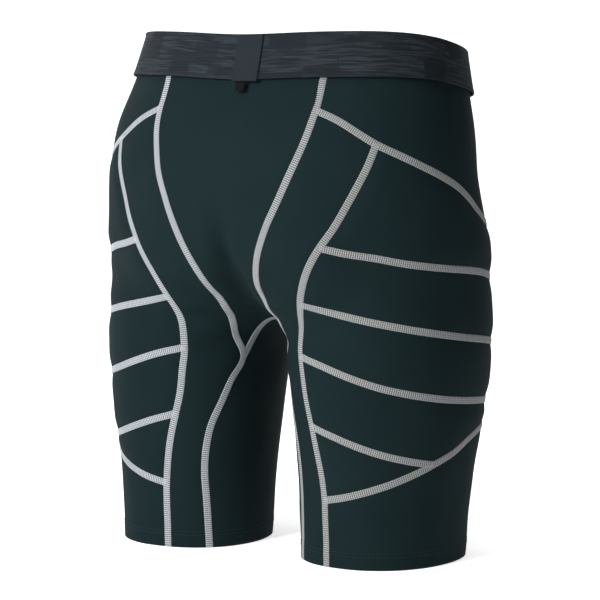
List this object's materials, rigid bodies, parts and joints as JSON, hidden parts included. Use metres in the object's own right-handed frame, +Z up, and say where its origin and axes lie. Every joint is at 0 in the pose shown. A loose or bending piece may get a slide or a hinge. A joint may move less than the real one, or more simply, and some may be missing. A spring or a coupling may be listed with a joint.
{
  "type": "padded impact shorts",
  "caption": "Close-fitting stretch shorts with quilted foam hip and thigh pads, flat seam tapes, a wide elastic waistband and folded leg hems, standing open.",
  "frame": {"origin": "on the floor under the middle of the outline", "axes": "+Z up from the leg hems to the waistband, +X to the wearer's left, +Y to the wearer's back"},
  "size_m": [0.383, 0.2518, 0.4748],
  "materials": {
    "fabric": "matt stretch jersey",
    "tape": "flat-locked seam thread",
    "elastic": "woven jacquard elastic",
    "label": "satin woven label",
    "foam": "closed-cell foam",
    "mesh": "power mesh"
  },
  "bodies": {
    "shorts": {"back_arch_seam": "tape", "back_centre_panel": "fabric", "crotch_gusset": "fabric", "front_arch_seam": "tape", "front_centre_panel": "fabric", "left_back_seam": "tape", "left_back_thigh_panel": "fabric", "left_foam_pad_1": "foam", "left_foam_pad_2": "foam", "left_foam_pad_3": "foam", "left_foam_pad_4": "foam", "left_foam_pad_5": "foam", "left_front_seam": "tape", "left_front_thigh_panel": "fabric", "left_hem_facing": "fabric", "left_hip_yoke_panel": "fabric", "left_lower_side_panel": "fabric", "left_pad_cover_1": "fabric", "left_pad_cover_2": "fabric", "left_pad_cover_3": "fabric", "left_pad_cover_4": "fabric", "left_pad_cover_5": "fabric", "left_pad_lining": "mesh", "left_pad_seams": "tape", "right_back_seam": "tape", "right_back_thigh_panel": "fabric", "right_foam_pad_1": "foam", "right_foam_pad_2": "foam", "right_foam_pad_3": "foam", "right_foam_pad_4": "foam", "right_foam_pad_5": "foam", "right_front_seam": "tape", "right_front_thigh_panel": "fabric", "right_hem_facing": "fabric", "right_hip_yoke_panel": "fabric", "right_lower_side_panel": "fabric", "right_pad_cover_1": "fabric", "right_pad_cover_2": "fabric", "right_pad_cover_3": "fabric", "right_pad_cover_4": "fabric", "right_pad_cover_5": "fabric", "right_pad_lining": "mesh", "right_pad_seams": "tape", "tailbone_foam_pad": "foam", "tailbone_pocket": "mesh", "waistband": "elastic", "waistband_join_patch": "elastic"},
    "size_tab": {"size_tab": "label"}
  },
  "joints": [
    {"name": "size_tab_flip", "type": "hinge", "parent": "shorts", "child": "size_tab", "pos_m": [-0.0075, 0.09835, 0.43017], "axis": [1, 0, 0], "range_deg": [0, 165]}
  ]
}
